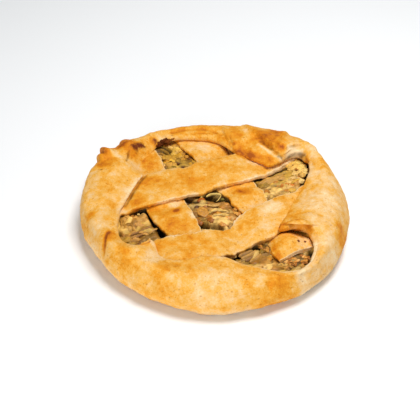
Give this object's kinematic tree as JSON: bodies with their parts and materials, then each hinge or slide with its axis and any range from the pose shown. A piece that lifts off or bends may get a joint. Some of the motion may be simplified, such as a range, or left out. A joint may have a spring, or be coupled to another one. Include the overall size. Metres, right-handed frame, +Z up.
{
  "type": "vegetable lattice tart",
  "caption": "Round free-form tart: a pastry crust folded in over its own edge, wide dough strips laid crosswise over a baked vegetable filling that shows between them.",
  "frame": {"origin": "on the floor, under the middle of the tart's bounding box", "axes": "+Z up; -Y towards the side that faces the camera in the picture; +X to the right in the picture"},
  "size_m": [0.2214, 0.218, 0.041],
  "materials": {
    "crust": "dry baked dough, golden with browner folds",
    "strips": "dry baked dough, golden with pale cut edges",
    "filling": "moist roasted vegetables in set custard"
  },
  "bodies": {
    "root": {"crust": "crust", "filling": "filling", "strip_cross_left": "strips", "strip_cross_right": "strips", "strip_long_back": "strips", "strip_long_front": "strips"}
  },
  "joints": []
}
